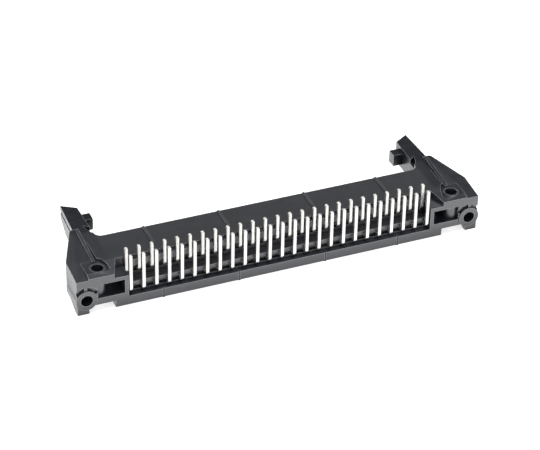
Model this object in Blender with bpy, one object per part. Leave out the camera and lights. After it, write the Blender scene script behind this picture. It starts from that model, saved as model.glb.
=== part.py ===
"""A right-angle pin header: a moulded housing with latch arms and fixing towers, and two rows of bent contacts.

Every size is in millimetres until MM turns it into metres. X runs along the rows, Y towards the mating side and
Z up, with the solder tails standing up and the object resting on its underside. Y is counted from the outer row
of tails. Sizes named OUT are counted outwards in X from the last contact, so that an end keeps its shape on a
longer row.
"""

import math

import bmesh
import bpy
from mathutils import Vector

MM = 0.001

# Contacts
PITCH = 2.54
PINS_PER_ROW = 25
WIRE = 0.64
TAIL_TOP_Z = 10.95
TIP_Y = 9.7
OUTER_TAIL_Y = 0.0
INNER_TAIL_Y = OUTER_TAIL_Y + PITCH
MATING_MID_Z = 4.25
OUTER_CONTACT_Z = MATING_MID_Z - PITCH / 2
INNER_CONTACT_Z = MATING_MID_Z + PITCH / 2
TIP_TAPER = 0.35
TIP_INSET = 0.15
BEND_INNER_RADIUS = 0.12
BEND_STEPS = 4
PIN_CLEARANCE = 0.05
TAIL_CLEARANCE = 0.14
STEP_CLEARANCE = 0.58
ROW_HALF = (PINS_PER_ROW - 1) / 2 * PITCH

# Shroud
REST_Z = 0.0
RIB_DROP = 0.15
UNDERSIDE_Z = REST_Z + RIB_DROP
TOP_Z = 8.65
STANDOFF_RISE = 0.2
STANDOFF_Z = TOP_Z + STANDOFF_RISE
BACK_Y = -0.55
FRONT_Y = 11.0
CHAMBER_FLOOR_Z = 2.05
STEP_BACK_Y = OUTER_TAIL_Y + WIRE / 2 + STEP_CLEARANCE
STEP_RISE = 1.1
STEP_TOP_Z = OUTER_CONTACT_Z + STEP_RISE
REAR_Y = INNER_TAIL_Y + WIRE / 2 + TAIL_CLEARANCE
CHAMBER_OUT = 0.57
CAVITY_OUT = 3.17
CAVITY_HEIGHT = 6.4
CAVITY_FLOOR_Y = 4.6
KEYWAY_WIDTH = 4.5
RIB_WIDTH = 0.45
RIB_BACK_Y = 5.3
RIB_PITCHES = (3.5, 9.5)
SEAM_WIDTH = 0.3
SEAM_DEPTH = 0.15

# Teeth between the inner tails, and the slots that the contacts leave from
TOOTH_GAP = 0.25
TOOTH_REACH = 1.0
TOOTH_BACK_Y = REAR_Y - TOOTH_REACH
TOOTH_DROP = 0.47
TOOTH_TOP_Z = TOP_Z - TOOTH_DROP
TOOTH_HEIGHT = 1.28
SLOT_DEPTH = 0.6
SLOT_RISE = 0.15
SLOT_DROP = 0.7

# End shelf and the pocket under it
END_WALL = 0.75
SHELF_TOP_Z = 6.8
POCKET_TOP_Z = 6.0
POCKET_FLOOR_Z = 3.0
POCKET_INNER_OUT = CHAMBER_OUT + END_WALL
POCKET_OUTER_OUT = 6.62
POCKET_DEPTH_Y = 3.3

# Towers
TOWER_GAP = 0.15
TOWER_INNER_OUT = CAVITY_OUT + TOWER_GAP
TOWER_OUTER_OUT = 10.78
TOWER_BASE_Z = 1.6
TOWER_SHOULDER_Y = 5.6
NOSE_OUT = 7.2
NOSE_Y = 14.2
NOSE_Z = 9.0
NOSE_RADIUS = 0.8
UNDERCUT_GAP = 0.2
UNDERCUT_Y = FRONT_Y + UNDERCUT_GAP
SCREW_OUT = 5.92
SCREW_Y = 1.85
SCREW_HOLE = 2.4
SCREW_BOSS = 3.35
SCREW_RING = 3.0
SCREW_RING_RISE = 0.15
PAD_Z = 8.05
PAD_FRONT_Y = 4.4
PAD_EDGE = [(3.92, 2.3), (4.62, 4.0), (5.25, PAD_FRONT_Y)]
PAD_OUTER_BACK_OUT = 8.37
PAD_BACK_Z = 7.72
CHEEK_FRONT_OUT = 1.95
TRENCH_FRONT_Y = 10.3
WING_BACK_Z = 7.5
TOWER_RIB_WIDTH = 0.65
TOWER_RIB_Y = (3.9, 13.6)
TOWER_RIB_Z = (8.3, 9.3)

# Tube boss, its recess and the foot
TUBE_OUT = 8.87
TUBE_Z = 3.1
TUBE_HOLE = 2.35
TUBE_RADIUS = 2.1
TUBE_PROUD = 0.2
TUBE_FRONT_Y = 4.8
TUBE_FLOOR_Y = 4.4
RECESS_RADIUS = 2.9
RECESS_DEPTH = 0.4
RECESS_FROM_DEG = 35
RECESS_TO_DEG = 150
WEB_OUT = 9.0
WEB_WIDTH = 0.6
WEB_Z = (5.0, 7.2)
FOOT_INNER_OUT = PAD_OUTER_BACK_OUT
FOOT_OUTER_OUT = 10.67
FOOT_TIP_Y = 0.7
FOOT_ROOT_Y = 4.3

# Arms
ARM_INNER_OUT = 3.05
ARM_OUTER_OUT = 6.57
ARM_ROOT_Y = 9.0
ARM_BASE_Z = 4.2
ARM_TIP_INNER = (3.22, 21.55)
ARM_TIP_OUTER = (6.12, 23.35)
ARM_CHAMFER_Y = 19.9
ARM_CHAMFER_Z = 6.05
ARM_FILLET = 1.45
FILLET_PLATE = 1.0
ROOT_NOTCH = [(2.6, 12.3), (3.4, 12.75), (3.9, 14.0), (4.2, 15.4), (2.6, 14.1)]
HOOK_INNER_OUT = 1.2
HOOK_Y = (18.25, 20.35)
HOOK_Z = (5.25, 7.75)
GROOVE_Z = (7.1, 7.6)
GROOVE_DEPTH = 0.5

JOIN = 0.4
OVERRUN = 0.6
ROUND_STEPS = 40
CORNER_STEPS = 8
CENTRE_Y = (BACK_Y - TUBE_PROUD + ARM_TIP_OUTER[1]) / 2


def clear_scene():
    """Removes what a new file holds."""
    for obj in list(bpy.data.objects):
        bpy.data.objects.remove(obj, do_unlink=True)


def plastic():
    """Black glass-filled moulding plastic, dull with a faint sheen."""
    material = bpy.data.materials.new("housing_plastic")
    material.use_nodes = True
    shader = material.node_tree.nodes["Principled BSDF"]
    shader.inputs["Base Color"].default_value = (0.028, 0.028, 0.032, 1.0)
    shader.inputs["Roughness"].default_value = 0.5
    shader.inputs["Metallic"].default_value = 0.0
    return material


def tinned_wire():
    """Bright tin over copper alloy wire."""
    material = bpy.data.materials.new("contact_tin")
    material.use_nodes = True
    shader = material.node_tree.nodes["Principled BSDF"]
    shader.inputs["Base Color"].default_value = (0.83, 0.81, 0.76, 1.0)
    shader.inputs["Roughness"].default_value = 0.28
    shader.inputs["Metallic"].default_value = 1.0
    return material


def at(axis, a, b, along):
    """The point whose coordinate on the axis is along; a and b are the other two, in X, Y, Z order."""
    if axis == "X":
        return Vector((along, a, b)) * MM
    if axis == "Y":
        return Vector((a, along, b)) * MM
    return Vector((a, b, along)) * MM


def prism(name, axis, outline, low, high, end=0):
    """Sweeps an outline along an axis. At an end, 1 or -1, X counts outwards from its last contact."""
    mesh = bmesh.new()
    corners = [mesh.verts.new(at(axis, a, b, low)) for a, b in outline]
    cap = mesh.faces.new(corners)
    swept = bmesh.ops.extrude_face_region(mesh, geom=[cap])
    moved = [item for item in swept["geom"] if isinstance(item, bmesh.types.BMVert)]
    bmesh.ops.translate(mesh, vec=at(axis, 0, 0, high - low), verts=moved)
    if end:
        bmesh.ops.translate(mesh, vec=Vector((ROW_HALF, 0, 0)) * MM, verts=mesh.verts)
        bmesh.ops.scale(mesh, vec=(end, 1, 1), verts=mesh.verts)
    bmesh.ops.recalc_face_normals(mesh, faces=mesh.faces)
    data = bpy.data.meshes.new(name)
    mesh.to_mesh(data)
    mesh.free()
    piece = bpy.data.objects.new(name, data)
    bpy.context.collection.objects.link(piece)
    return piece


def block(name, x, y, z, end=0):
    """A plain box between three pairs of limits."""
    return prism(name, "Z", [(x[0], y[0]), (x[1], y[0]), (x[1], y[1]), (x[0], y[1])], z[0], z[1], end)


def around(middle, width):
    """The two limits of a width about its middle."""
    return (middle - width / 2, middle + width / 2)


def arc(centre, radius, start, end, steps):
    """Points on a circle from one angle to another, in degrees."""
    angles = [math.radians(start + (end - start) * i / steps) for i in range(steps + 1)]
    return [(centre[0] + radius * math.cos(a), centre[1] + radius * math.sin(a)) for a in angles]


def rod(name, axis, centre, radius, low, high, end=0):
    """A round bar along an axis."""
    circle = arc(centre, radius, 0, 360 - 360 / ROUND_STEPS, ROUND_STEPS - 1)
    return prism(name, axis, circle, low, high, end)


def rounded_corner(before, corner, after, radius, steps):
    """The points that replace a corner of an outline by an arc tangent to both of its sides."""
    here = Vector(corner)
    back = (Vector(before) - here).normalized()
    on = (Vector(after) - here).normalized()
    half = back.angle(on) / 2
    centre = here + (back + on).normalized() * (radius / math.sin(half))
    start = here + back * (radius / math.tan(half)) - centre
    end = here + on * (radius / math.tan(half)) - centre
    turn = start.angle_signed(end)
    points = []
    for i in range(steps + 1):
        a = -turn * i / steps
        x = centre.x + start.x * math.cos(a) - start.y * math.sin(a)
        y = centre.y + start.x * math.sin(a) + start.y * math.cos(a)
        points.append((x, y))
    return points


def pin_x(number):
    """Where a contact stands along the row."""
    return number * PITCH - ROW_HALF


def shroud():
    """The long body: bottom wall, stepped rear wall with the slots that the contacts leave from, and top."""
    section = [
        (BACK_Y, UNDERSIDE_Z),
        (FRONT_Y, UNDERSIDE_Z),
        (FRONT_Y, TOP_Z),
        (REAR_Y, TOP_Z),
        (REAR_Y, INNER_CONTACT_Z + SLOT_DROP),
        (REAR_Y + SLOT_DEPTH, INNER_CONTACT_Z + SLOT_DROP),
        (REAR_Y + SLOT_DEPTH, INNER_CONTACT_Z - SLOT_DROP),
        (REAR_Y, INNER_CONTACT_Z - SLOT_DROP),
        (REAR_Y, STEP_TOP_Z),
        (STEP_BACK_Y, STEP_TOP_Z),
        (STEP_BACK_Y, OUTER_CONTACT_Z + SLOT_RISE),
        (STEP_BACK_Y + SLOT_DEPTH, OUTER_CONTACT_Z + SLOT_RISE),
        (STEP_BACK_Y + SLOT_DEPTH, OUTER_CONTACT_Z - SLOT_DROP),
        (STEP_BACK_Y, OUTER_CONTACT_Z - SLOT_DROP),
        (STEP_BACK_Y, CHAMBER_FLOOR_Z),
        (BACK_Y, CHAMBER_FLOOR_Z),
    ]
    half = ROW_HALF + CAVITY_OUT
    return prism("housing", "X", section, -half, half)


def rows_of_ribs():
    """Low ribs across the top and the underside, which hold the board and the rest plane."""
    ribs = []
    for pitches in RIB_PITCHES:
        for side in (-1, 1):
            limits = around(side * pitches * PITCH, RIB_WIDTH)
            ribs.append(block("top_rib", limits, (RIB_BACK_Y, FRONT_Y), (TOP_Z - JOIN, STANDOFF_Z)))
            ribs.append(block("base_rib", limits, (BACK_Y, FRONT_Y), (REST_Z, UNDERSIDE_Z + JOIN)))
    return ribs


def seams():
    """Shallow upright lines on the back of the bottom wall, one above each rib of the underside."""
    lines = []
    for pitches in RIB_PITCHES:
        for side in (-1, 1):
            limits = around(side * pitches * PITCH, SEAM_WIDTH)
            depth = (BACK_Y - OVERRUN, BACK_Y + SEAM_DEPTH)
            lines.append(block("seam", limits, depth, (UNDERSIDE_Z, CHAMBER_FLOOR_Z + OVERRUN)))
    return lines


def teeth():
    """A comb of small blocks on the rear wall, one between every two inner tails."""
    comb = []
    width = PITCH - WIRE - 2 * TOOTH_GAP
    for number in range(PINS_PER_ROW - 1):
        limits = around(pin_x(number) + PITCH / 2, width)
        heights = (TOOTH_TOP_Z - TOOTH_HEIGHT, TOOTH_TOP_Z)
        comb.append(block("tooth", limits, (TOOTH_BACK_Y, REAR_Y + JOIN), heights))
    return comb


def end_forms(end):
    """The main forms of one end: end wall, shelf, tower with its cheek, foot, and the arm with its fillet and hook."""
    shoulder = (TOWER_OUTER_OUT, TOWER_SHOULDER_Y)
    rib_inner = SCREW_OUT - TOWER_RIB_WIDTH / 2
    cheek = [(TOWER_INNER_OUT, BACK_Y), (SCREW_OUT, BACK_Y), (SCREW_OUT, NOSE_Y)]
    cheek += [(ARM_INNER_OUT, NOSE_Y), (ARM_INNER_OUT, REAR_Y + JOIN)]
    cheek += [(CHEEK_FRONT_OUT, REAR_Y + JOIN), (CHEEK_FRONT_OUT, REAR_Y)]
    plan = [(rib_inner, BACK_Y), (TOWER_OUTER_OUT, BACK_Y), shoulder]
    plan += rounded_corner(shoulder, (NOSE_OUT, NOSE_Y), (rib_inner, NOSE_Y), NOSE_RADIUS, CORNER_STEPS)
    plan += [(rib_inner, NOSE_Y)]
    arm = [
        (ARM_INNER_OUT, ARM_ROOT_Y),
        (ARM_OUTER_OUT, ARM_ROOT_Y),
        (ARM_OUTER_OUT, NOSE_Y),
        ARM_TIP_OUTER,
        ARM_TIP_INNER,
        (ARM_INNER_OUT, FRONT_Y + ARM_FILLET),
    ]
    corner = (ARM_INNER_OUT - ARM_FILLET, FRONT_Y + ARM_FILLET)
    fillet = arc(corner, ARM_FILLET, -90, 0, CORNER_STEPS)
    fillet += [(ARM_INNER_OUT + JOIN, FRONT_Y + ARM_FILLET), (ARM_INNER_OUT + JOIN, FRONT_Y - JOIN)]
    fillet += [(ARM_INNER_OUT - ARM_FILLET, FRONT_Y - JOIN)]
    foot = [
        (BACK_Y, REST_Z),
        (FOOT_TIP_Y, REST_Z),
        (FOOT_ROOT_Y, TOWER_BASE_Z),
        (FOOT_ROOT_Y, TUBE_Z),
        (BACK_Y, TUBE_Z),
    ]
    link_out = TOWER_INNER_OUT + JOIN
    end_x = (CAVITY_OUT - JOIN, CAVITY_OUT + END_WALL)
    return [
        block("end_wall", (CHAMBER_OUT, CAVITY_OUT), (BACK_Y, REAR_Y + JOIN), (UNDERSIDE_Z, SHELF_TOP_Z), end),
        block("shelf", (CHAMBER_OUT, link_out), (BACK_Y, FRONT_Y), (TOWER_BASE_Z, SHELF_TOP_Z), end),
        block("tower_link", (0, link_out), (REAR_Y, FRONT_Y), (TOWER_BASE_Z, TOP_Z), end),
        block("cavity_end", end_x, (CAVITY_FLOOR_Y - JOIN, FRONT_Y), (UNDERSIDE_Z, TOWER_BASE_Z + JOIN), end),
        prism("tower", "Z", plan, TOWER_BASE_Z, NOSE_Z, end),
        prism("cheek", "Z", cheek, TOWER_BASE_Z, TOP_Z, end),
        prism("foot", "X", foot, FOOT_INNER_OUT, FOOT_OUTER_OUT, end),
        prism("arm", "Z", arm, ARM_BASE_Z, TOP_Z, end),
        prism("arm_fillet", "Z", fillet, TOP_Z - FILLET_PLATE, TOP_Z, end),
        block("hook", (HOOK_INNER_OUT, ARM_INNER_OUT + JOIN), HOOK_Y, HOOK_Z, end),
    ]


def end_bosses(end):
    """What stands in the spaces of one end: pad, screw boss and ring, tower rib, tube boss and web."""
    screw = (SCREW_OUT, SCREW_Y)
    tube = (TUBE_OUT, TUBE_Z)
    low = POCKET_TOP_Z + JOIN
    slope_y = BACK_Y + (PAD_Z - PAD_BACK_Z) * (REAR_Y - BACK_Y) / (TOP_Z - PAD_BACK_Z)
    pad = [(BACK_Y, low), (BACK_Y, PAD_BACK_Z), (slope_y, PAD_Z), (PAD_FRONT_Y, PAD_Z), (PAD_FRONT_Y, low)]
    rib = [(TOWER_RIB_Y[0], low), (TOWER_RIB_Y[0], TOWER_RIB_Z[0])]
    rib += [(TOWER_RIB_Y[1], TOWER_RIB_Z[1]), (TOWER_RIB_Y[1], low)]
    rib_x = around(SCREW_OUT, TOWER_RIB_WIDTH)
    return [
        prism("pad", "X", pad, rib_x[0] - JOIN, PAD_OUTER_BACK_OUT, end),
        rod("screw_boss", "Z", screw, SCREW_BOSS / 2, TOWER_BASE_Z + JOIN, low, end),
        rod("screw_ring", "Z", screw, SCREW_RING / 2, low, PAD_Z + SCREW_RING_RISE, end),
        prism("tower_rib", "X", rib, rib_x[0], rib_x[1], end),
        rod("tube_boss", "Y", tube, TUBE_RADIUS, BACK_Y - TUBE_PROUD, TUBE_FRONT_Y, end),
        block("web", around(WEB_OUT, WEB_WIDTH), (BACK_Y, BACK_Y + 2 * RECESS_DEPTH), WEB_Z, end),
    ]


def end_holes(end):
    """The screw hole right through one end, and the blind hole of its tube boss."""
    screw = (SCREW_OUT, SCREW_Y)
    tube = (TUBE_OUT, TUBE_Z)
    return [
        rod("screw_hole", "Z", screw, SCREW_HOLE / 2, REST_Z - OVERRUN, NOSE_Z + OVERRUN, end),
        rod("tube_hole", "Y", tube, TUBE_HOLE / 2, BACK_Y - TUBE_PROUD - OVERRUN, TUBE_FLOOR_Y, end),
    ]


def end_spaces(end):
    """What is cut from one end before its bosses are added, from the pad's space down to the arm's groove."""
    behind = BACK_Y - OVERRUN
    above = NOSE_Z + OVERRUN
    outside = TOWER_OUTER_OUT + OVERRUN
    rib_inner = SCREW_OUT - TOWER_RIB_WIDTH / 2
    wing_slope = (NOSE_Z - WING_BACK_Z) / (NOSE_Y - BACK_Y)
    cheek_slope = (TOP_Z - PAD_BACK_Z) / (REAR_Y - BACK_Y)
    pad = [(TOWER_INNER_OUT, behind), (SCREW_OUT, behind), (SCREW_OUT, PAD_FRONT_Y)] + PAD_EDGE[::-1]
    cheek = [(behind, PAD_BACK_Z - cheek_slope * OVERRUN), (REAR_Y, TOP_Z), (REAR_Y, above), (behind, above)]
    trench = [(PAD_FRONT_Y - JOIN, PAD_Z), (PAD_FRONT_Y, PAD_Z), (TRENCH_FRONT_Y, TOP_Z)]
    trench += [(TRENCH_FRONT_Y, above), (PAD_FRONT_Y - JOIN, above)]
    wing = [(behind, WING_BACK_Z - wing_slope * OVERRUN), (NOSE_Y + OVERRUN, NOSE_Z + wing_slope * OVERRUN)]
    wing += [(NOSE_Y + OVERRUN, above), (behind, above)]
    recess = arc((TUBE_OUT, TUBE_Z), RECESS_RADIUS, RECESS_FROM_DEG, RECESS_TO_DEG, 2 * CORNER_STEPS) + [(TUBE_OUT, TUBE_Z)]
    chamfer = [
        (ARM_CHAMFER_Y, ARM_BASE_Z - OVERRUN),
        (ARM_CHAMFER_Y, ARM_BASE_Z),
        (ARM_TIP_OUTER[1], ARM_CHAMFER_Z),
        (ARM_TIP_OUTER[1] + OVERRUN, ARM_CHAMFER_Z),
        (ARM_TIP_OUTER[1] + OVERRUN, ARM_BASE_Z - OVERRUN),
    ]
    undercut = [
        (UNDERCUT_Y, TOWER_BASE_Z - OVERRUN),
        (UNDERCUT_Y, TOWER_BASE_Z),
        (NOSE_Y - OVERRUN, ARM_BASE_Z),
        (NOSE_Y + OVERRUN, ARM_BASE_Z),
        (NOSE_Y + OVERRUN, TOWER_BASE_Z - OVERRUN),
    ]
    groove = [
        (ARM_OUTER_OUT - GROOVE_DEPTH, NOSE_Y + JOIN),
        (ARM_OUTER_OUT + OVERRUN, NOSE_Y + JOIN),
        (ARM_OUTER_OUT + OVERRUN, ARM_TIP_OUTER[1] + OVERRUN),
        (ARM_TIP_OUTER[0] - GROOVE_DEPTH, ARM_TIP_OUTER[1] + OVERRUN),
    ]
    pocket = (POCKET_INNER_OUT, POCKET_OUTER_OUT)
    return [
        prism("pad_space", "Z", pad, PAD_Z, above, end),
        prism("cheek_space", "X", cheek, CHEEK_FRONT_OUT, SCREW_OUT, end),
        prism("trench", "X", trench, PAD_EDGE[-1][0], SCREW_OUT, end),
        prism("wing", "X", wing, rib_inner, outside, end),
        block("pocket", pocket, (behind, POCKET_DEPTH_Y), (POCKET_FLOOR_Z, POCKET_TOP_Z), end),
        prism("recess", "Y", recess, behind, BACK_Y + RECESS_DEPTH, end),
        prism("chamfer", "X", chamfer, HOOK_INNER_OUT, outside, end),
        prism("undercut", "X", undercut, CAVITY_OUT, outside, end),
        prism("root_notch", "Z", ROOT_NOTCH, TOP_Z - FILLET_PLATE, above, end),
        prism("groove", "Z", groove, GROOVE_Z[0], GROOVE_Z[1], end),
    ]


def mating_spaces():
    """The mating cavity and the keyway through its wall away from the board."""
    low, high = around(MATING_MID_Z, CAVITY_HEIGHT)
    half = ROW_HALF + CAVITY_OUT
    depth = (CAVITY_FLOOR_Y, FRONT_Y + OVERRUN)
    return [
        block("cavity", (-half, half), depth, (low, high)),
        block("keyway", around(0, KEYWAY_WIDTH), depth, (REST_Z - OVERRUN, MATING_MID_Z)),
    ]


def pin_holes():
    """A square hole through the rear wall for every contact."""
    holes = []
    width = WIRE + 2 * PIN_CLEARANCE
    for number in range(PINS_PER_ROW):
        for z, back in ((OUTER_CONTACT_Z, STEP_BACK_Y), (INNER_CONTACT_Z, REAR_Y)):
            depth = (back - OVERRUN, CAVITY_FLOOR_Y + OVERRUN)
            holes.append(block("pin_hole", around(pin_x(number), width), depth, around(z, width)))
    return holes


def combine(target, operation, pieces, name):
    """Gives the target a live Boolean with a group of hidden pieces."""
    group = bpy.data.collections.new(name)
    bpy.context.scene.collection.children.link(group)
    group.hide_render = True
    for piece in pieces:
        bpy.context.collection.objects.unlink(piece)
        group.objects.link(piece)
        piece.parent = target
        piece.hide_render = True
        piece.display_type = "WIRE"
    modifier = target.modifiers.new(name, "BOOLEAN")
    modifier.operation = operation
    modifier.operand_type = "COLLECTION"
    modifier.collection = group
    modifier.solver = "EXACT"


def housing():
    """The whole moulding: forms joined, spaces cut, bosses added in the spaces, and holes cut last."""
    body = shroud()
    forms = rows_of_ribs()
    spaces = mating_spaces() + seams()
    bosses = teeth()
    holes = pin_holes()
    for end in (-1, 1):
        forms += end_forms(end)
        spaces += end_spaces(end)
        bosses += end_bosses(end)
        holes += end_holes(end)
    combine(body, "UNION", forms, "forms")
    combine(body, "DIFFERENCE", spaces, "spaces")
    combine(body, "UNION", bosses, "bosses")
    combine(body, "DIFFERENCE", holes, "holes")
    body.data.materials.append(plastic())
    body.location.y = -CENTRE_Y * MM


def contact_mesh(name, tail_y, contact_z):
    """A bent square wire: its section is carried along the path, round the bend, with both ends drawn in."""
    half = WIRE / 2
    reach = half + BEND_INNER_RADIUS
    centre = (tail_y + reach, contact_z + reach)
    stations = [((tail_y, TAIL_TOP_Z), 90, half - TIP_INSET), ((tail_y, TAIL_TOP_Z - TIP_TAPER), 90, half)]
    for i in range(BEND_STEPS + 1):
        turn = 180 + 90 * i / BEND_STEPS
        a = math.radians(turn)
        stations.append(((centre[0] + reach * math.cos(a), centre[1] + reach * math.sin(a)), turn - 90, half))
    stations.append(((TIP_Y - TIP_TAPER, contact_z), 180, half))
    stations.append(((TIP_Y, contact_z), 180, half - TIP_INSET))
    mesh = bmesh.new()
    rings = []
    for (y, z), heading, size in stations:
        a = math.radians(heading - 90)
        across = Vector((0, math.cos(a), math.sin(a)))
        middle = Vector((0, y, z))
        ring = []
        for right, out in ((-1, -1), (1, -1), (1, 1), (-1, 1)):
            ring.append(mesh.verts.new((middle + Vector((right * size, 0, 0)) + across * (out * size)) * MM))
        rings.append(ring)
    for first, second in zip(rings, rings[1:]):
        for i in range(4):
            mesh.faces.new((first[i], first[(i + 1) % 4], second[(i + 1) % 4], second[i]))
    mesh.faces.new(rings[0])
    mesh.faces.new(rings[-1])
    bmesh.ops.recalc_face_normals(mesh, faces=mesh.faces)
    data = bpy.data.meshes.new(name)
    mesh.to_mesh(data)
    mesh.free()
    return data


def contacts():
    """Both rows of contacts, as copies of one mesh a row."""
    tin = tinned_wire()
    rows = [("outer", OUTER_TAIL_Y, OUTER_CONTACT_Z), ("inner", INNER_TAIL_Y, INNER_CONTACT_Z)]
    for row, tail_y, contact_z in rows:
        data = contact_mesh("contact_" + row, tail_y, contact_z)
        data.materials.append(tin)
        for number in range(PINS_PER_ROW):
            pin = bpy.data.objects.new(f"pin_{row}_{number + 1:02d}", data)
            pin.location = (pin_x(number) * MM, -CENTRE_Y * MM, 0)
            bpy.context.collection.objects.link(pin)


clear_scene()
housing()
contacts()
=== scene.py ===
"""A right-angle pin header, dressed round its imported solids, as the photograph shows it."""

import math

import bmesh
import bpy
import numpy as np
from mathutils import Matrix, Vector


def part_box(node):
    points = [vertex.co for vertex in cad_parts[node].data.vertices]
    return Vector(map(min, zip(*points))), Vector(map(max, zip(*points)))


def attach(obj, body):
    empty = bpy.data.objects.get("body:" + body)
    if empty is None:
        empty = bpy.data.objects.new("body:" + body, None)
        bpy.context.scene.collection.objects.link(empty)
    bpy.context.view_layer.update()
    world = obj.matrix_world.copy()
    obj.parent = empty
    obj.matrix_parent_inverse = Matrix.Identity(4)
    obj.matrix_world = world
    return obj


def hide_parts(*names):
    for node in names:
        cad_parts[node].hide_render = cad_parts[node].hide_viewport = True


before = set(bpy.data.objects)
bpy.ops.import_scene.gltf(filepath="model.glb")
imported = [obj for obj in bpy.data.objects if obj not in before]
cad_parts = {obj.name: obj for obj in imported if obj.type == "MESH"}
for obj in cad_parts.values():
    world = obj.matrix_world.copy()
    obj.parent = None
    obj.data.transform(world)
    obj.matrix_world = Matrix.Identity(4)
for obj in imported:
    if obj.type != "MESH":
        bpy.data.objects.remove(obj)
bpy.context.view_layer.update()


# The housing: one moulding in black glass-filled plastic, with a faint sheen and flow marks. Its
# edges are painted paler as highlights, and its gloss is taken away as painted shade in grooves,
# corners and zones that look darker. Its surface is the imported solid's, merged into whole faces and
# given the small rounded edges that a mould leaves. It stands on its feet and carries every contact.


def add(tree, kind, **values):
    """A new node with its inputs set by name, spaces in a name written as underscores."""
    node = tree.nodes.new(kind)
    for name, value in values.items():
        node.inputs[name.replace("_", " ")].default_value = value
    return node


def join(tree, start, end):
    """A link from an output socket to an input socket."""
    tree.links.new(start, end)


def maths(tree, operation, first, second):
    """The result of one operation on two numbers, each a socket or a value."""
    node = tree.nodes.new("ShaderNodeMath")
    node.operation = operation
    for place, value in enumerate((first, second)):
        if isinstance(value, float):
            node.inputs[place].default_value = value
        else:
            join(tree, value, node.inputs[place])
    return node.outputs["Value"]


def times(tree, first, second):
    """The product of two numbers: for masks, where both hold."""
    return maths(tree, "MULTIPLY", first, second)


def larger(tree, first, second):
    """The larger of two numbers: for masks, where either holds."""
    return maths(tree, "MAXIMUM", first, second)


def ramp(tree, value, start, end, low, high):
    """A number that goes smoothly from low to high while the value goes from start to end."""
    node = add(tree, "ShaderNodeMapRange", From_Min=start, From_Max=end, To_Min=low, To_Max=high)
    node.interpolation_type = "SMOOTHSTEP"
    join(tree, value, node.inputs["Value"])
    return node.outputs["Result"]


def blend(tree, share, first, second):
    """A colour between two others, each a socket or a colour.

    The node has its sockets once for each kind of data, so the ones for colours go by number.
    """
    factor, start, end, result = 0, 6, 7, 2
    node = tree.nodes.new("ShaderNodeMix")
    node.data_type = "RGBA"
    join(tree, share, node.inputs[factor])
    for place, value in ((start, first), (end, second)):
        if isinstance(value, tuple):
            node.inputs[place].default_value = value
        else:
            join(tree, value, node.inputs[place])
    return node.outputs[result]


def split(tree, kind, output):
    """The X, Y and Z of what an input node gives."""
    parts = tree.nodes.new("ShaderNodeSeparateXYZ")
    join(tree, tree.nodes.new(kind).outputs[output], parts.inputs["Vector"])
    return parts.outputs["X"], parts.outputs["Y"], parts.outputs["Z"]


def new_group(name, outputs, inputs=()):
    """A node group with the named sockets, and its output node."""
    tree = bpy.data.node_groups.new(name, "ShaderNodeTree")
    number = "NodeSocketFloat"
    for label, value in inputs:
        socket = tree.interface.new_socket(name=label, in_out="INPUT", socket_type=number)
        socket.default_value = value
    for label in outputs:
        tree.interface.new_socket(name=label, in_out="OUTPUT", socket_type=number)
    return tree, tree.nodes.new("NodeGroupOutput")


def group_node(tree, group):
    """A node group placed in a material."""
    node = tree.nodes.new("ShaderNodeGroup")
    node.node_tree = group
    return node


def edge_highlight_and_shade():
    """Mask, which is 1 on outward edges, and Open, which falls to 0 in grooves and inner corners.

    The mask is 1 minus the dot of the true normal and a normal rounded over the radius. It fades
    where little sky is seen within the groove's reach, and it paints highlights on edges. Open is
    that sky's share, times a milder one for the sky seen within the nook's reach, and it paints
    shade in grooves and corners where it takes the gloss away.
    """
    groove_reach = 0.0006
    nook_reach = 0.0025
    tree, result = new_group("edge_highlight_and_shade", ["Mask", "Open"], [("Radius", 0.0001), ("Gain", 6.0)])
    source = tree.nodes.new("NodeGroupInput")
    rounded = tree.nodes.new("ShaderNodeBevel")
    rounded.samples = 8
    geometry = tree.nodes.new("ShaderNodeNewGeometry")
    dot = tree.nodes.new("ShaderNodeVectorMath")
    dot.operation = "DOT_PRODUCT"
    join(tree, source.outputs["Radius"], rounded.inputs["Radius"])
    join(tree, rounded.outputs["Normal"], dot.inputs[0])
    join(tree, geometry.outputs["Normal"], dot.inputs[1])
    turned = maths(tree, "SUBTRACT", 1.0, dot.outputs["Value"])
    strong = times(tree, turned, source.outputs["Gain"])
    near = add(tree, "ShaderNodeAmbientOcclusion", Distance=groove_reach)
    near.samples = 8
    fade = ramp(tree, near.outputs["AO"], 0.6, 0.85, 0.0, 1.0)
    join(tree, times(tree, maths(tree, "MINIMUM", strong, 1.0), fade), result.inputs["Mask"])
    wide = add(tree, "ShaderNodeAmbientOcclusion", Distance=nook_reach)
    wide.samples = 8
    groove = ramp(tree, near.outputs["AO"], 0.4, 0.82, 0.0, 1.0)
    nook = ramp(tree, wide.outputs["AO"], 0.1, 0.5, 0.4, 1.0)
    join(tree, times(tree, groove, nook), result.inputs["Open"])
    return tree


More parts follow.
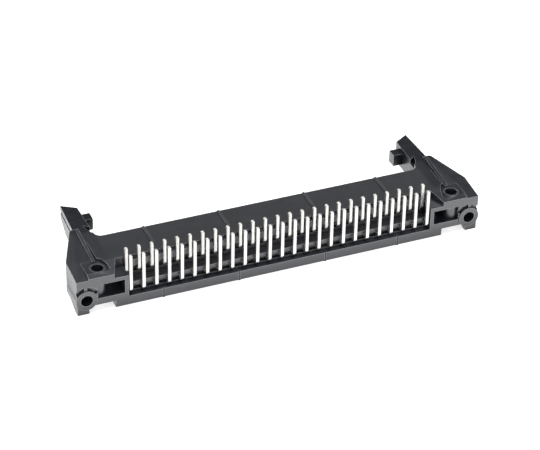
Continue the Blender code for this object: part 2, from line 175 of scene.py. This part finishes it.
def painted_shade_zones():
    """Mask of painted shade: faces whose gloss is taken away so that they look darker, by where they
    are and how they face.

    It is full on the arms' tops, on the cheeks and lips that slope back to the screw pads, and
    on a hook's back next to its arm. It is part on tower tops, end faces and near the underside.
    Places are in metres, and a place across is the same at both ends.
    """
    tree, result = new_group("painted_shade_zones", ["Mask"])
    x, y, z = split(tree, "ShaderNodeTexCoord", "Object")
    face_x, face_y, face_z = split(tree, "ShaderNodeNewGeometry", "Normal")
    across = times(tree, x, x)

    def inside(near, far):
        return ramp(tree, across, near**2, far**2, 1.0, 0.0)

    def outside(near, far):
        return ramp(tree, across, near**2, far**2, 0.0, 1.0)

    # Painted shade: gloss is taken away on tower tops, more towards the right, on arms' tops, cheeks,
    # lips and a hook's back.
    forward = ramp(tree, y, 0.0, 0.004, 0.0, 1.0)
    by_side = ramp(tree, x, -0.03, 0.03, 0.25, 0.6)
    tower = times(tree, outside(0.0331, 0.0341), larger(tree, forward, by_side))
    arm = ramp(tree, y, 0.0005, 0.003, 0.0, 1.0)
    sloping = ramp(tree, face_y, -0.17, -0.06, 1.0, 0.0)
    lip = times(tree, ramp(tree, y, -0.0102, -0.0096, 1.0, 0.0), inside(0.0386, 0.039))
    cheek = times(tree, sloping, larger(tree, lip, inside(0.0358, 0.0362)))
    upward = ramp(tree, face_z, 0.8, 0.95, 0.0, 1.0)
    tops = times(tree, larger(tree, tower, larger(tree, cheek, arm)), upward)
    hook = times(tree, outside(0.0316, 0.033), ramp(tree, y, 0.006, 0.0068, 0.0, 1.0))
    hook_back = times(tree, hook, ramp(tree, face_y, -0.9, -0.5, 1.0, 0.0))
    # Painted shade near the underside, where the floor's shadow would be seen in the gloss.
    low = ramp(tree, z, 0.0002, 0.0045, 0.55, 0.0)
    end_face = ramp(tree, times(tree, face_x, face_x), 0.4, 0.8, 0.0, 0.5)
    zones = larger(tree, larger(tree, tops, hook_back), larger(tree, low, end_face))
    join(tree, zones, result.inputs["Mask"])
    return tree


def grain():
    """A fine height, a cloud over a few millimetres, and streaks the way the plastic flowed."""
    tree, result = new_group("grain", ["Height", "Cloud", "Flow"])
    place = tree.nodes.new("ShaderNodeTexCoord").outputs["Object"]
    stretch = add(tree, "ShaderNodeMapping", Scale=(260.0, 1500.0, 900.0))
    stretch.inputs["Rotation"].default_value = (0.0, 0.0, 0.35)
    fine = add(tree, "ShaderNodeTexNoise", Scale=5200.0, Detail=3.0, Roughness=0.6)
    cloud = add(tree, "ShaderNodeTexNoise", Scale=420.0, Detail=4.0, Roughness=0.55, Distortion=0.6)
    flow = add(tree, "ShaderNodeTexNoise", Scale=1.0, Detail=3.0, Roughness=0.5, Distortion=0.9)
    join(tree, place, fine.inputs["Vector"])
    join(tree, place, cloud.inputs["Vector"])
    join(tree, place, stretch.inputs["Vector"])
    join(tree, stretch.outputs["Vector"], flow.inputs["Vector"])
    join(tree, fine.outputs["Fac"], result.inputs["Height"])
    join(tree, cloud.outputs["Fac"], result.inputs["Cloud"])
    join(tree, flow.outputs["Fac"], result.inputs["Flow"])
    return tree


def black_plastic():
    """Black plastic under a thin glossy coat, whose gloss is taken away as painted shade in grooves,
    corners and the painted shade zones.

    Cloud times flow sets the tone and roughness. Edges are paler, a painted highlight, and a little
    smoother.
    """
    dark = (0.01, 0.0112, 0.0148, 1.0)
    light = (0.0165, 0.018, 0.0235, 1.0)
    # Pale edge colour: painted highlights where edges catch the light.
    painted_edge_highlight = (0.4, 0.41, 0.43, 1.0)
    material = bpy.data.materials.new("black_plastic")
    material.use_nodes = True
    tree = material.node_tree
    shader = tree.nodes["Principled BSDF"]
    shader.inputs["IOR"].default_value = 1.6
    shader.inputs["Specular IOR Level"].default_value = 0.3
    shader.inputs["Specular Tint"].default_value = (0.9, 0.95, 1.0, 1.0)
    shader.inputs["Coat IOR"].default_value = 1.85
    shader.inputs["Coat Roughness"].default_value = 0.33
    surface = group_node(tree, moulded_grain)
    zones = group_node(tree, painted_shade_group)
    edges = group_node(tree, edge_mask)
    edges.inputs["Radius"].default_value = 0.00013
    edges.inputs["Gain"].default_value = 6.0
    mixed = times(tree, surface.outputs["Cloud"], surface.outputs["Flow"])
    tone = blend(tree, ramp(tree, mixed, 0.1, 0.45, 0.0, 1.0), dark, light)
    join(tree, blend(tree, edges.outputs["Mask"], tone, painted_edge_highlight), shader.inputs["Base Color"])
    rough = ramp(tree, mixed, 0.1, 0.45, 0.28, 0.4)
    polish = times(tree, edges.outputs["Mask"], 0.08)
    join(tree, maths(tree, "SUBTRACT", rough, polish), shader.inputs["Roughness"])
    # Painted shade: the coat's gloss is taken away on the painted shade zones and in grooves and
    # corners.
    skin = maths(tree, "SUBTRACT", 1.0, zones.outputs["Mask"])
    join(tree, times(tree, skin, edges.outputs["Open"]), shader.inputs["Coat Weight"])
    height = maths(tree, "ADD", surface.outputs["Height"], surface.outputs["Flow"])
    bump = add(tree, "ShaderNodeBump", Strength=0.3, Distance=0.00002)
    join(tree, height, bump.inputs["Height"])
    join(tree, bump.outputs["Normal"], shader.inputs["Normal"])
    return material


def merged_copy(node, name):
    """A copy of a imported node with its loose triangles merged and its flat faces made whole."""
    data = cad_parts[node].data.copy()
    data.name = name
    touching = 0.000001
    flat = math.radians(1.0)
    mesh = bmesh.new()
    mesh.from_mesh(data)
    bmesh.ops.remove_doubles(mesh, verts=mesh.verts, dist=touching)
    bmesh.ops.dissolve_limit(mesh, angle_limit=flat, verts=mesh.verts, edges=mesh.edges)
    bmesh.ops.recalc_face_normals(mesh, faces=mesh.faces)
    mesh.to_mesh(data)
    mesh.free()
    piece = bpy.data.objects.new(name, data)
    bpy.context.scene.collection.objects.link(piece)
    return piece


edge_mask = edge_highlight_and_shade()
painted_shade_group = painted_shade_zones()
moulded_grain = grain()
sharp = math.radians(25)
moulding = merged_copy("housing", "moulding")
moulding.data.materials.clear()
moulding.data.materials.append(black_plastic())
rounding = moulding.modifiers.new("rounding", "BEVEL")
rounding.width = 0.00009
rounding.segments = 2
rounding.limit_method = "ANGLE"
rounding.angle_limit = sharp
moulding.data.shade_smooth()
moulding.data.set_sharp_from_angle(angle=sharp)
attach(moulding, "root")
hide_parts("housing")


# The contacts: square drawn wire with a bright tin coat, bent once and pointed at both ends, and
# pressed into the housing's rear wall. Each is a rounded square carried along its path by numpy,
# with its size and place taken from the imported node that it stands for.


def bright_tin():
    """Bright tin: streaks along the rows vary the gloss, a slow cloud dulls the tone."""
    dark = (0.76, 0.752, 0.725, 1.0)
    light = (0.84, 0.835, 0.815, 1.0)
    material = bpy.data.materials.new("bright_tin")
    material.use_nodes = True
    tree = material.node_tree
    shader = tree.nodes["Principled BSDF"]
    shader.inputs["Metallic"].default_value = 1.0
    place = tree.nodes.new("ShaderNodeTexCoord")
    stretch = add(tree, "ShaderNodeMapping", Scale=(9000.0, 1200.0, 1200.0))
    streak = add(tree, "ShaderNodeTexNoise", Scale=1.0, Detail=3.0)
    surface = group_node(tree, moulded_grain)
    edges = group_node(tree, edge_mask)
    edges.inputs["Radius"].default_value = 0.00006
    join(tree, place.outputs["Object"], stretch.inputs["Vector"])
    join(tree, stretch.outputs["Vector"], streak.inputs["Vector"])
    tone = blend(tree, surface.outputs["Cloud"], dark, light)
    join(tree, tone, shader.inputs["Base Color"])
    rough = ramp(tree, streak.outputs["Fac"], 0.3, 0.7, 0.3, 0.44)
    polish = times(tree, edges.outputs["Mask"], 0.06)
    join(tree, maths(tree, "SUBTRACT", rough, polish), shader.inputs["Roughness"])
    bump = add(tree, "ShaderNodeBump", Strength=0.2, Distance=0.00001)
    join(tree, streak.outputs["Fac"], bump.inputs["Height"])
    join(tree, bump.outputs["Normal"], shader.inputs["Normal"])
    return material


def rounded_square(half, radius, steps):
    """Points (n, 2) round a square with rounded corners.

    Each corner's centre lies (half - radius) out on both axes, and its points are that centre
    plus radius * (cos t, sin t) over a quarter turn.
    """
    t = np.linspace(0, np.pi / 2, steps + 1) + np.arange(4)[:, None] * np.pi / 2
    diagonal = t[:, :1] + np.pi / 4
    centres = (half - radius) * np.sign(np.stack([np.cos(diagonal), np.sin(diagonal)], axis=-1))
    return (centres + radius * np.stack([np.cos(t), np.sin(t)], axis=-1)).reshape(-1, 2)


def wire_path(low, high, half):
    """Stations (n, 4) of y, z, heading and size down the tail, round the bend and out to the tip.

    The bend is a quarter circle of radius r = half + bend about (y0 + r, z0 + r): its points
    are that centre minus r * (cos a, sin a). At each end the size falls as
    1 - (1 - point) * u * u while u goes from 0 to 1 over the taper. Both ends are worked out
    from the point inwards, and the tip is then turned round.
    """
    bend = 0.00012
    taper = 0.00042
    point = 0.5
    y0 = low[1] + half
    z0 = low[2] + half
    u = np.linspace(1, 0, 6)
    same = np.ones_like(u)
    size = 1 - (1 - point) * u * u
    tail = [y0 * same, high[2] - taper * (1 - u), -np.pi / 2 * same, size]
    a = np.linspace(0, np.pi / 2, 9)
    r = half + bend
    turn = [y0 + r * (1 - np.cos(a)), z0 + r * (1 - np.sin(a)), a - np.pi / 2, np.ones_like(a)]
    tip = [high[1] - taper * (1 - u), z0 * same, 0 * same, size]
    return np.hstack([tail, turn, np.array(tip)[:, ::-1]]).T


def contact(name, low, high):
    """One wire: ring i is the rounded square scaled by size i and turned square to heading i."""
    half = (high[0] - low[0]) / 2
    middle = (high[0] + low[0]) / 2
    section = rounded_square(half, radius=0.00007, steps=3)
    y, z, heading, size = wire_path(low, high, half).T[:, :, None]
    sideways = middle + section[:, 0] * size
    across = section[:, 1] * size
    rings = [sideways, y - across * np.sin(heading), z + across * np.cos(heading)]
    points = np.stack(rings, axis=-1).reshape(-1, 3)
    around = len(section)
    here = np.arange(around)
    following = np.roll(here, -1)
    start = np.arange(0, len(points) - around, around)[:, None]
    skin = [start + here, start + following, start + around + following, start + around + here]
    caps = [here[::-1].tolist(), (len(points) - around + here).tolist()]
    data = bpy.data.meshes.new(name)
    data.from_pydata(points.tolist(), [], np.stack(skin, axis=-1).reshape(-1, 4).tolist() + caps)
    mesh = bmesh.new()
    mesh.from_mesh(data)
    bmesh.ops.recalc_face_normals(mesh, faces=mesh.faces)
    mesh.to_mesh(data)
    mesh.free()
    data.shade_smooth()
    data.set_sharp_from_angle(angle=math.radians(50))
    piece = bpy.data.objects.new(name, data)
    piece.modifiers.new("even_shading", "WEIGHTED_NORMAL").keep_sharp = True
    bpy.context.scene.collection.objects.link(piece)
    return piece


tin = bright_tin()
for node in sorted(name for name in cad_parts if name.startswith("pin_")):
    low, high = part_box(node)
    pin = contact(node.replace("pin_", "wire_"), low, high)
    pin.data.materials.append(tin)
    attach(pin, "root")
    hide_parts(node)


# The studio: a pale matt floor that shows white and keeps its shadow, and a room of soft light. The
# room is bright overhead, dimmer low down, a little brighter on the near side and the left, and
# dark between. It has no lamps.


def floor_material():
    """Pale matt floor, whitened by a light that only the camera, gloss and clear pieces see."""
    material = bpy.data.materials.new("pale_floor")
    material.use_nodes = True
    tree = material.node_tree
    shader = tree.nodes["Principled BSDF"]
    shader.inputs["Base Color"].default_value = (0.8, 0.8, 0.8, 1.0)
    shader.inputs["Roughness"].default_value = 0.9
    shader.inputs["Specular IOR Level"].default_value = 0.0
    shader.inputs["Emission Color"].default_value = (1.0, 1.0, 1.0, 1.0)
    ray = tree.nodes.new("ShaderNodeLightPath").outputs
    seen = larger(tree, ray["Is Camera Ray"], ray["Is Glossy Ray"])
    seen = larger(tree, seen, ray["Is Transmission Ray"])
    join(tree, times(tree, seen, 0.7), shader.inputs["Emission Strength"])
    return material


def floor():
    """A flat square, 3 m on a side, a hundredth of a millimetre under what the part rests on."""
    half = 1.5
    z = -0.00001
    data = bpy.data.meshes.new("floor")
    corners = [(-half, -half, z), (half, -half, z), (half, half, z), (-half, half, z)]
    data.from_pydata(corners, [], [(0, 1, 2, 3)])
    data.materials.append(floor_material())
    piece = bpy.data.objects.new("floor", data)
    bpy.context.scene.collection.objects.link(piece)


def soft_room():
    """A world of soft light, the same to every ray. Its strength is a sum of ramps by direction."""
    world = bpy.data.worlds.new("soft_room")
    world.use_nodes = True
    tree = world.node_tree
    x, y, z = split(tree, "ShaderNodeTexCoord", "Generated")
    low = ramp(tree, z, 0.4, 0.6, 0.36, 0.05)
    overhead = ramp(tree, z, 0.82, 0.93, 0.0, 3.6)
    near = ramp(tree, y, -0.85, -0.35, 0.9, 0.0)
    left = ramp(tree, x, -0.9, -0.4, 0.4, 0.0)
    upright = maths(tree, "ADD", low, overhead)
    strength = maths(tree, "ADD", upright, maths(tree, "ADD", near, left))
    background = tree.nodes["Background"]
    background.inputs["Color"].default_value = (1.0, 1.0, 1.0, 1.0)
    join(tree, strength, background.inputs["Strength"])
    bpy.context.scene.world = world


floor()
soft_room()


# The camera: placed so that the pitch of the contacts and the corners of the housing fall where
# the photograph has them. Its matrix holds its right, up and backward directions and its place, in
# metres, as columns.


def photo_camera():
    """A long lens, its length in pixels turned into millimetres for a frame 540 pixels wide."""
    focal_px = 2329.46
    frame_px = 540
    data = bpy.data.cameras.new("photo_camera")
    data.sensor_width = 36.0
    data.lens = data.sensor_width * focal_px / frame_px
    data.clip_start = 0.01
    data.clip_end = 10.0
    lens = bpy.data.objects.new("photo_camera", data)
    lens.matrix_world = Matrix([
        (0.925513, 0.199155, -0.322123, -0.144136),
        (-0.378302, 0.525976, -0.761733, -0.346023),
        (0.017726, 0.826853, 0.562138, 0.257874),
        (0.0, 0.0, 0.0, 1.0),
    ])
    bpy.context.scene.collection.objects.link(lens)
    bpy.context.scene.camera = lens


photo_camera()
bpy.context.scene.view_settings.view_transform = "Standard"
